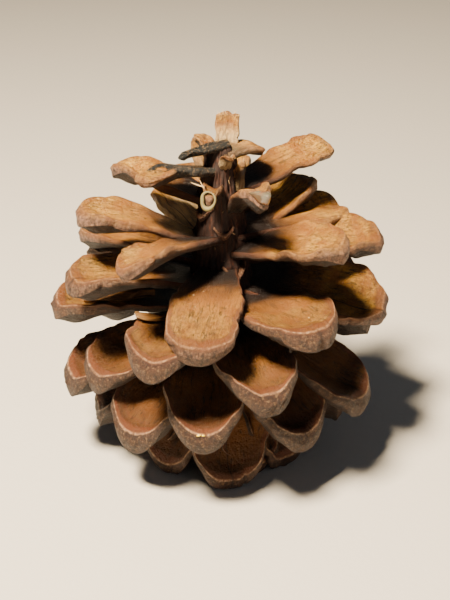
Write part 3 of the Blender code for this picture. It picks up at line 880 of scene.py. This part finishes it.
def blade_mesh(scale, outside, faces):
    """One scale's closed mesh in its own frame, with what its material needs on each point."""
    # The rows and columns next to the rim lie close to it, and keep it crisp
    t = 1 - np.linspace(1, 0, ROWS) ** 1.35
    t[-2] = 1 - 0.14 / max(scale.length, 3)
    s = cubic_spread(COLUMNS, 0.2)
    s[1], s[-2] = -0.975, 0.975
    row, column, level = np.nonzero(outside)
    s, t, q = s[column], t[row], np.array(LEVELS)[level]
    across, out, up = scale.surface(s, t, q)
    depth = scale.depth(s, t)
    rim = scale.rim_distance(s, t)
    rim = np.where(q > 0, -q * depth - np.where(q == 1, rim, 0), rim)
    look = scale.look
    draw = random.Random(2000 + scale.number)
    off_crack = across - look.crack_at * scale.half_width(t) - 0.25 * ripple(draw, out, 0, 5, 4)
    crack = look.crack * eased(look.crack_from, look.crack_from + 0.15, t) * (q < 0.5)
    attributes = {
        "place": np.stack((s, t, q), axis=1),
        "rim_mm": rim,
        "blade_mm": np.stack((across + 40 * scale.number, out, up), axis=1),
        "tone": np.stack((look.pale + 0 * s, look.stain + 0 * s, look.broken + 0 * s), axis=1),
        "crisp": float(along(CRISPNESS, scale.number)) + 0 * s,
        "crack": np.stack((off_crack, crack, 0 * s), axis=1),
    }
    return mesh_from(f"blade_{scale.number:02d}", np.stack((-across, out, up), axis=1), faces, attributes)


def geometry_tree(name, sockets, result):
    """A new node tree with the given inputs and one result, and the outputs of its input node."""
    tree = bpy.data.node_groups.new(name, "GeometryNodeTree")
    for label, kind in sockets:
        tree.interface.new_socket(label, in_out="INPUT", socket_type="NodeSocket" + kind)
    tree.interface.new_socket(result, in_out="OUTPUT", socket_type="NodeSocketGeometry")
    return tree, add(tree, "NodeGroupInput").node.outputs


def end_tree(tree, copies, finish):
    """Makes the copies real, gives them their finish and sends them out."""
    joined = add(tree, "GeometryNodeRealizeInstances", {0: copies})
    finished = add(tree, "GeometryNodeSetMaterial", {"Geometry": joined, "Material": finish})
    tree.links.new(finished, tree.nodes.new("NodeGroupOutput").inputs[0])
    return tree


def spiral_tree():
    """Sets the children of a collection on a spiral of points, one each, and joins them."""
    sockets = (
        ("Points", "Geometry"),
        ("Scales", "Collection"),
        ("Finish", "Material"),
        ("Turn", "Float"),
        ("Front Angle", "Float"),
        ("Front Scale", "Int"),
        ("Axis Place", "Vector"),
    )
    tree, given = geometry_tree("cone_spiral", sockets, "Cone")
    named = {}
    for label in ("number", "pick", "radius", "height", "yaw", "pitch", "roll"):
        named[label] = add(tree, "GeometryNodeInputNamedAttribute", {"Name": label}, data_type="FLOAT")
    steps = add(tree, "ShaderNodeMath", {0: named["number"], 1: given["Front Scale"]}, operation="SUBTRACT")
    angle = add(
        tree,
        "ShaderNodeMath",
        {0: steps, 1: given["Turn"], 2: given["Front Angle"]},
        operation="MULTIPLY_ADD",
    )
    side = add(tree, "ShaderNodeMath", {0: angle}, operation="SINE")
    side = add(tree, "ShaderNodeMath", {0: side, 1: named["radius"]}, operation="MULTIPLY")
    back = add(tree, "ShaderNodeMath", {0: angle}, operation="COSINE")
    back = add(tree, "ShaderNodeMath", {0: back, 1: named["radius"]}, operation="MULTIPLY")
    back = add(tree, "ShaderNodeMath", {0: back, 1: -1}, operation="MULTIPLY")
    root = add(tree, "ShaderNodeCombineXYZ", {0: side, 1: back, 2: named["height"]})
    root = add(tree, "ShaderNodeVectorMath", {0: root, 1: given["Axis Place"]}, operation="ADD")
    placed = add(tree, "GeometryNodeSetPosition", {"Geometry": given["Points"], "Position": root})
    heading = add(tree, "ShaderNodeMath", {0: angle, 1: named["yaw"]}, operation="ADD")
    heading = add(tree, "ShaderNodeMath", {0: heading, 1: math.pi}, operation="ADD")
    turns = []
    for axis, amount in ((2, heading), (0, named["pitch"]), (1, named["roll"])):
        euler = add(tree, "ShaderNodeCombineXYZ", {axis: amount})
        turns.append(add(tree, "FunctionNodeEulerToRotation", {0: euler}))
    turned = add(tree, "FunctionNodeRotateRotation", {0: turns[0], 1: turns[1]}, rotation_space="LOCAL")
    turned = add(tree, "FunctionNodeRotateRotation", {0: turned, 1: turns[2]}, rotation_space="LOCAL")
    blades = add(tree, "GeometryNodeCollectionInfo", {0: given["Scales"], 1: True})
    copies = add(
        tree,
        "GeometryNodeInstanceOnPoints",
        {
            "Points": placed,
            "Instance": blades,
            "Pick Instance": True,
            "Instance Index": named["pick"],
            "Rotation": turned,
        },
    )
    return end_tree(tree, copies, given["Finish"])


def scatter_tree():
    """Sets copies of one small shape on points that carry a direction, a size and a tint."""
    sockets = (
        ("Points", "Geometry"),
        ("Shape", "Object"),
        ("Finish", "Material"),
        ("Unevenness", "Float"),
        ("Seed", "Int"),
    )
    tree, given = geometry_tree("scattered_bits", sockets, "Bits")
    direction = add(tree, "GeometryNodeInputNamedAttribute", {"Name": "direction"}, data_type="FLOAT_VECTOR")
    size = add(tree, "GeometryNodeInputNamedAttribute", {"Name": "bit_size"}, data_type="FLOAT_VECTOR")
    stray = add(
        tree,
        "FunctionNodeRandomValue",
        {0: (-1, -1, -1), 1: (1, 1, 1), "Seed": given["Seed"]},
        data_type="FLOAT_VECTOR",
    )
    direction = add(
        tree,
        "ShaderNodeVectorMath",
        {0: stray, 1: given["Unevenness"], 2: direction},
        operation="MULTIPLY_ADD",
    )
    turned = add(tree, "FunctionNodeAlignRotationToVector", {"Vector": direction}, axis="Z")
    shape = add(tree, "GeometryNodeObjectInfo", {"Object": given["Shape"]}, "Geometry")
    copies = add(
        tree,
        "GeometryNodeInstanceOnPoints",
        {"Points": given["Points"], "Instance": shape, "Rotation": turned, "Scale": size},
    )
    return end_tree(tree, copies, given["Finish"])


def scattered_object(name, places, directions, sizes, tints, shape, material, unevenness):
    """One object of many copies of a shape, kept as a plain mesh."""
    attributes = {"direction": directions, "bit_size": sizes, "tint": tints}
    start = mesh_from(name + "_points", places, [], attributes)
    helper = bpy.data.objects.new(shape.name, shape)
    values = {"Shape": helper, "Finish": material, "Unevenness": unevenness, "Seed": SCATTER_SEED}
    piece = grown_object(name, start, scatter_tree(), values)
    bpy.data.objects.remove(helper)
    return piece


def splinter_mesh():
    """A bent, tapering fibre along Z, 1 mm long and 1 mm wide before it is scaled, closed at both ends."""
    rings = [(0, 0, 0.5), (0.35, 0.1, 0.45), (0.7, 0.35, 0.3), (1, 0.8, 0.06)]
    sides = 5
    points = []
    for height, bend, radius in rings:
        for side in range(sides):
            angle = 2 * math.pi * side / sides
            points.append((radius * math.cos(angle) + bend, radius * math.sin(angle), height))
    faces = []
    for ring in range(len(rings) - 1):
        for side in range(sides):
            a = ring * sides + side
            b = ring * sides + (side + 1) % sides
            faces.append((a, b, b + sides, a + sides))
    faces.append(tuple(reversed(range(sides))))
    faces.append(tuple(range(len(points) - sides, len(points))))
    return mesh_from("splinter", points, faces)


def grain_mesh():
    """A small lumpy grain of radius 1 mm before it is scaled, flattened along Z and closed."""
    rings = 4
    sides = 8
    points = [(0, 0, -0.5)]
    for ring in range(1, rings):
        tilt = math.pi * ring / rings
        for side in range(sides):
            angle = 2 * math.pi * side / sides
            radius = math.sin(tilt) * (1 + 0.18 * math.sin(3 * angle + ring))
            points.append((radius * math.cos(angle), radius * math.sin(angle), -0.5 * math.cos(tilt)))
    points.append((0, 0, 0.5))
    faces = [(0, 1 + (side + 1) % sides, 1 + side) for side in range(sides)]
    for ring in range(rings - 2):
        for side in range(sides):
            a = 1 + ring * sides + side
            b = 1 + ring * sides + (side + 1) % sides
            faces.append((a, b, b + sides, a + sides))
    last = 1 + (rings - 2) * sides
    faces += [(last + side, last + (side + 1) % sides, len(points) - 1) for side in range(sides)]
    return mesh_from("grain", points, faces)


def grown_object(name, start, tree, values):
    """Runs a node tree on a starting mesh and keeps the result as a plain object."""
    helper = object_from(name + "_start", start)
    modifier = helper.modifiers.new("grow", "NODES")
    modifier.node_group = tree
    for item in tree.interface.items_tree:
        if item.in_out == "INPUT" and item.name in values:
            modifier[item.identifier] = values[item.name]
    graph = bpy.context.evaluated_depsgraph_get()
    mesh = bpy.data.meshes.new_from_object(helper.evaluated_get(graph))
    helper.modifiers.clear()
    bpy.data.objects.remove(helper)
    mesh.name = name
    return object_from(name, mesh)


def flatten_on_floor(piece):
    """Nothing reaches below the plane that the cone rests on."""
    points = np.zeros(len(piece.data.vertices) * 3, np.float32)
    piece.data.vertices.foreach_get("co", points)
    points[2::3] = np.maximum(points[2::3], 0)
    piece.data.vertices.foreach_set("co", points)


class PINECONE_OT_scales(bpy.types.Operator):
    """Shapes every scale and sets them on the spiral"""

    bl_idname = "pine_cone.scales"
    bl_label = "Grow scales"

    def execute(self, context):
        sizes = context.scene.pine_cone_sizes
        material = scale_material(colours_of(context), sizes)
        outside, faces = block_grid(ROWS, COLUMNS, len(LEVELS))
        tree = spiral_tree()
        for name, numbers in SCALE_GROUPS.items():
            scales = [Scale(number) for number in numbers]
            blades = bpy.data.collections.new(name + "_blades")
            for scale in scales:
                mesh = blade_mesh(scale, outside, faces)
                blades.objects.link(bpy.data.objects.new(mesh.name, mesh))
            start = mesh_from(
                name + "_points",
                [(0, 0, 0)] * len(scales),
                [],
                {
                    "number": [scale.number for scale in scales],
                    "pick": list(range(len(scales))),
                    "radius": [scale.radius * MM for scale in scales],
                    "height": [scale.height * MM for scale in scales],
                    "yaw": [scale.yaw for scale in scales],
                    "pitch": [scale.pitch for scale in scales],
                    "roll": [scale.roll for scale in scales],
                },
            )
            values = {
                "Scales": blades,
                "Finish": material,
                "Turn": sizes.turn,
                "Front Angle": math.radians(FRONT_ANGLE),
                "Front Scale": FRONT_SCALE,
                "Axis Place": (AXIS_X * MM, AXIS_Y * MM, 0),
            }
            piece = grown_object(name, start, tree, values)
            flatten_on_floor(piece)
            for blade in list(blades.objects):
                bpy.data.objects.remove(blade)
            bpy.data.collections.remove(blades)
            finish_piece(piece, ["cone"])
        return {"FINISHED"}


class PINECONE_OT_axis(bpy.types.Operator):
    """Turns the woody axis, swollen at the root of each scale"""

    bl_idname = "pine_cone.axis"
    bl_label = "Carve axis"

    def execute(self, context):
        draw = random.Random(7)
        base = ROOT_HEIGHT[0] - STALK_LENGTH
        crown = ROOT_HEIGHT[-1] + CROWN_HEIGHT
        numbers = np.linspace(0, SCALE_COUNT - 1, 200)
        stalk_heights = (base, base + 0.6, ROOT_HEIGHT[0] - 1)
        stalk_radii = (STALK_RADIUS * 0.8, STALK_RADIUS, STALK_RADIUS)
        crown_radius = AXIS_RADIUS[-1] * 0.6
        heights = np.concatenate((stalk_heights, along(ROOT_HEIGHT, numbers), (crown,)))
        radii = np.concatenate((stalk_radii, along(AXIS_RADIUS, numbers), (crown_radius,)))
        z = np.linspace(base, crown, AXIS_ROWS)[:, None]
        angle = np.linspace(0, 2 * math.pi, AXIS_SIDES, endpoint=False)[None, :]
        radius = np.interp(z, heights, radii) + 0 * angle
        swelling = 0
        for number in range(SCALE_COUNT):
            scale = Scale(number)
            turn = np.abs((angle - scale.angle + math.pi) % (2 * math.pi) - math.pi) * scale.radius
            swelling = swelling + np.exp(-(turn**2) / 5 - (z - scale.height) ** 2 / 3)
        radius = radius + ROOT_SWELLING * np.minimum(swelling, 1) * radius / AXIS_RADIUS[0]
        radius = radius + BARK_RELIEF * ripple(draw, np.sin(angle * 9) * 3, z * 0.5, 2.2)
        radius = radius + BARK_RELIEF * 0.6 * ripple(draw, np.cos(angle * 14) * 3, z * 0.8, 1.6)
        points = np.stack(
            (AXIS_X + radius * np.sin(angle), AXIS_Y - radius * np.cos(angle), z + 0 * angle), axis=-1
        ).reshape(-1, 3)
        grid = np.arange(len(points)).reshape(AXIS_ROWS, AXIS_SIDES)
        wrapped = np.concatenate((grid, grid[:, :1]), axis=1)
        faces = [list(face[::-1]) for face in quads(wrapped)] + [list(grid[0][::-1]), list(grid[-1])]
        mesh = mesh_from("cone_axis", points, faces)
        piece = object_from("cone_axis", mesh, bark_material(colours_of(context)))
        finish_piece(piece, ["cone"])
        return {"FINISHED"}


class PINECONE_OT_seeds(bpy.types.Operator):
    """Lays the winged seeds on their scales"""

    bl_idname = "pine_cone.seeds"
    bl_label = "Lay winged seeds"

    def execute(self, context):
        material = wing_material(colours_of(context))
        outside, faces = block_grid(SEED_ROWS, SEED_COLUMNS, 2)
        row, column, level = np.nonzero(outside)
        for name, (number, seed_end, wing_tip, width) in SEEDS.items():
            scale = Scale(number)
            draw = random.Random(number)
            u = row / (SEED_ROWS - 1)
            side = 2 * column / (SEED_COLUMNS - 1) - 1
            ragged = 1 + 0.04 * ripple(draw, u * 10, side * 0, 1.7)
            ragged = ragged - 0.02 * np.abs(ripple(draw, u * 10, 0, 0.6))
            rounded = np.sqrt(np.maximum(1 - u**6, 0.02))
            spread = width / 2 * (0.3 + 0.7 * eased(0.1, 0.65, u)) * rounded * ragged
            middle_s = seed_end[0] + (wing_tip[0] - seed_end[0]) * u
            middle_t = seed_end[1] + (wing_tip[1] - seed_end[1]) * u
            s = middle_s + side * spread / scale.half_width(middle_t)
            plump = (1 - eased(SEED_SHARE * 0.5, SEED_SHARE, u)) * (SEED_DEPTH - WING_DEPTH)
            curl = 0.35 * eased(0.3, 1, u) * side * side
            ribs = 0.05 * np.sin(side * 22 + 2 * u) * eased(0.3, 0.5, u)
            lift = GAP + curl + ribs
            lift = lift + np.where(level == 0, WING_THICKNESS + plump * (1 - side * side), 0)
            across, out, up = scale.local(s, middle_t)
            points = scale.place(across, out, up + lift)
            vein_place = np.stack((side, u, 0 * u + (name == "winged_seed_low")), axis=1)
            mesh = mesh_from(name, points, faces[:, ::-1], {"vein_place": vein_place})
            piece = object_from(name + "_fine", mesh, material)
            finish_piece(piece, [name])
        return {"FINISHED"}


class PINECONE_OT_resin(bpy.types.Operator):
    """Sets the drop of dried resin on its scale"""

    bl_idname = "pine_cone.resin"
    bl_label = "Set resin"

    def execute(self, context):
        scale = Scale(RESIN_SCALE)
        size = 25
        outside, faces = block_grid(size, size, 2)
        row, column, level = np.nonzero(outside)
        q = 0.1 + 0.68 * row / (size - 1)
        edge = 1 - ((q - 0.44) / 0.5) ** 2
        side = 2 * column / (size - 1) - 1
        dome = RESIN_DEPTH * (0.1 + 0.9 * edge * (1 - side * side) ** 0.5)
        across, out, up = scale.surface(side * RESIN_SPREAD * edge, np.ones_like(q), q)
        out = out + GAP * 0.3 + np.where(level == 0, dome, 0)
        mesh = mesh_from("resin_drop", scale.place(across, out, up), faces)
        piece = object_from("resin_bead", mesh, resin_material(colours_of(context)))
        finish_piece(piece, ["resin_drop"])
        return {"FINISHED"}


class PINECONE_OT_fibres(bpy.types.Operator):
    """Adds torn fibres, the pale pith of a broken stub and flecks of resin"""

    bl_idname = "pine_cone.fibres"
    bl_label = "Add fibres and flecks"

    def execute(self, context):
        colours = colours_of(context)
        draw = random.Random(11)
        places, directions, sizes, tints = [], [], [], []
        for number, count, longest, paleness in TORN_ENDS:
            scale = Scale(number)
            for _ in range(count):
                s = draw.uniform(-0.85, 0.85)
                q = draw.uniform(0.05, 0.7)
                places.append(scale.place(*scale.surface(s, 0.97, q)))
                directions.append(scale.outward + scale.across * s * 0.5 + scale.normal * (0.4 - q))
                length = longest * draw.uniform(0.4, 1)
                sizes.append((FIBRE_WIDTH, FIBRE_WIDTH, length))
                tints.append(paleness)
        for _ in range(AXIS_FIBRES):
            number = draw.uniform(*AXIS_FIBRE_SCALES)
            turn = draw.uniform(0, 2 * math.pi)
            radius = float(along(AXIS_RADIUS, number)) * 1.02
            place = (AXIS_X + radius * math.sin(turn), AXIS_Y - radius * math.cos(turn))
            places.append(np.array((*place, float(along(ROOT_HEIGHT, number)))))
            directions.append(np.array((0.5 * math.sin(turn), -0.5 * math.cos(turn), draw.choice((-1, 1)))))
            sizes.append((FIBRE_WIDTH, FIBRE_WIDTH, draw.uniform(*AXIS_FIBRE_LENGTHS)))
            tints.append(draw.choice((0, 0, 0, 0.15, 0.4)))
        stub = Scale(PITH_SCALE)
        for s, reach, rise in ((-0.9, 2.4, 0.3), (-0.7, 1.8, 0.9)):
            places.append(stub.place(*stub.surface(s, 0.95, 0.12)))
            directions.append(-stub.across + 0.4 * stub.outward + rise * stub.normal)
            sizes.append((FIBRE_WIDTH * 2.2, FIBRE_WIDTH * 2.2, reach))
            tints.append(1)
        wood = torn_fibre_material(colours)
        piece = scattered_object("torn_fibres", places, directions, sizes, tints, splinter_mesh(), wood, 0.3)
        finish_piece(piece)

        # The pith is a ring on the end face of the stub
        turns = np.linspace(0, 2 * math.pi, 40, endpoint=False)[:, None]
        rounds = np.linspace(0, 2 * math.pi, 10, endpoint=False)[None, :]
        across, out, up = (float(value) for value in stub.surface(0.0, 1.0, 0.45))
        wall = PITH_WALL * (0.85 - 0.4 * np.sin(turns + 0.6) + 0.12 * np.sin(3 * turns))
        reach = PITH_RADIUS * (1 - 0.13 * np.cos(2 * turns) + 0.05 * np.sin(3 * turns + 1))
        reach = reach + wall * np.cos(rounds)
        rise = wall * np.sin(rounds)
        points = stub.place(across + reach * np.cos(turns), out - 0.12 + rise, up + reach * np.sin(turns))
        grid = np.arange(points.shape[0] * points.shape[1]).reshape(points.shape[:2])
        grid = np.concatenate((grid, grid[:1]))
        grid = np.concatenate((grid, grid[:, :1]), axis=1)
        mesh = mesh_from("pith_ring", points.reshape(-1, 3), quads(grid))
        finish_piece(object_from("pith_ring", mesh, pith_material(colours)))

        places, directions, sizes, tints = [], [], [], []
        for number, s, t, q, size, yellowness in FLECKS:
            scale = Scale(number)
            places.append(scale.place(*scale.surface(s, t, q)))
            directions.append(scale.normal + scale.outward * 0.2)
            sizes.append((size, size * 0.6, size * 0.5))
            tints.append(yellowness)
        finish = fleck_material(colours)
        piece = scattered_object("resin_flecks", places, directions, sizes, tints, grain_mesh(), finish, 0.1)
        finish_piece(piece)
        return {"FINISHED"}


class PINECONE_OT_stage(bpy.types.Operator):
    """Lays the floor and sets the lights and the camera"""

    bl_idname = "pine_cone.stage"
    bl_label = "Set stage"

    def execute(self, context):
        scene = context.scene
        corners = [(x * FLOOR_REACH, y * FLOOR_REACH, 0) for x, y in ((-1, -1), (1, -1), (1, 1), (-1, 1))]
        floor = object_from("floor", mesh_from("floor", corners, [(0, 1, 2, 3)], smooth=False))
        floor.data.materials.append(floor_material(colours_of(context)))

        world = bpy.data.worlds.new("studio")
        world.use_nodes = True
        background = world.node_tree.nodes["Background"]
        background.inputs["Color"].default_value = linear(SKY[0])
        background.inputs["Strength"].default_value = SKY[1]
        scene.world = world
        middle = Vector(AIM) * MM
        for name, place, size, power, colour in LIGHTS:
            data = bpy.data.lights.new(name, "AREA")
            data.size = size * MM
            data.energy = power
            data.color = linear(colour)[:3]
            light = bpy.data.objects.new(name, data)
            light.location = Vector(place) * MM
            light.rotation_euler = (middle - light.location).to_track_quat("-Z", "Y").to_euler()
            scene.collection.objects.link(light)

        camera = bpy.data.objects.new("camera", bpy.data.cameras.new("camera"))
        elevation = math.radians(VIEW_ELEVATION)
        back = Vector((0, -math.cos(elevation), math.sin(elevation)))
        camera.location = middle + back * VIEW_DISTANCE * MM
        camera.rotation_euler = (-back).to_track_quat("-Z", "Y").to_euler()
        camera.data.lens = LENS
        camera.data.sensor_width = SENSOR
        camera.data.clip_start = 0.01
        scene.collection.objects.link(camera)
        scene.camera = camera
        return {"FINISHED"}


class PineConeSizes(bpy.types.PropertyGroup):
    """Sizes that a user would change"""

    turn: FloatProperty(
        name="Turn",
        description="Turn from one scale to the next",
        default=math.radians(TURN),
        subtype="ANGLE",
        unit="ROTATION",
    )
    band_width: FloatProperty(
        name="Band width",
        description="Width of the reddish band inside each rim",
        default=BAND_WIDTH * MM,
        min=0,
        unit="LENGTH",
    )


PineConeColours = type(
    "PineConeColours",
    (bpy.types.PropertyGroup,),
    {
        "__doc__": "Colours of the cone and its stage",
        "__annotations__": {
            name: FloatVectorProperty(
                name=label, description=label, default=linear(colour), size=4, min=0, max=1, subtype="COLOR"
            )
            for name, (label, colour) in COLOURS.items()
        },
    },
)


class PINECONE_PT_panel(bpy.types.Panel):
    """Lists the cone's sizes, colours and steps"""

    bl_idname = "PINECONE_PT_panel"
    bl_label = "Pine Cone"
    bl_space_type = "VIEW_3D"
    bl_region_type = "UI"
    bl_category = "Pine Cone"

    def draw(self, context):
        for operator in OPERATORS:
            self.layout.operator(operator.bl_idname)
        for group in (context.scene.pine_cone_sizes, context.scene.pine_cone_colours):
            for name in group.__annotations__:
                self.layout.prop(group, name)


OPERATORS = (
    PINECONE_OT_scales,
    PINECONE_OT_axis,
    PINECONE_OT_seeds,
    PINECONE_OT_resin,
    PINECONE_OT_fibres,
    PINECONE_OT_stage,
)
CLASSES = (PineConeSizes, PineConeColours, *OPERATORS, PINECONE_PT_panel)


def register():
    for item in CLASSES:
        bpy.utils.register_class(item)
    bpy.types.Scene.pine_cone_sizes = PointerProperty(type=PineConeSizes)
    bpy.types.Scene.pine_cone_colours = PointerProperty(type=PineConeColours)


def unregister():
    del bpy.types.Scene.pine_cone_colours
    del bpy.types.Scene.pine_cone_sizes
    for item in reversed(CLASSES):
        bpy.utils.unregister_class(item)


def main():
    register()
    bpy.ops.pine_cone.scales()
    bpy.ops.pine_cone.axis()
    bpy.ops.pine_cone.seeds()
    bpy.ops.pine_cone.resin()
    bpy.ops.pine_cone.fibres()
    bpy.ops.pine_cone.stage()


if __name__ == "__main__":
    main()
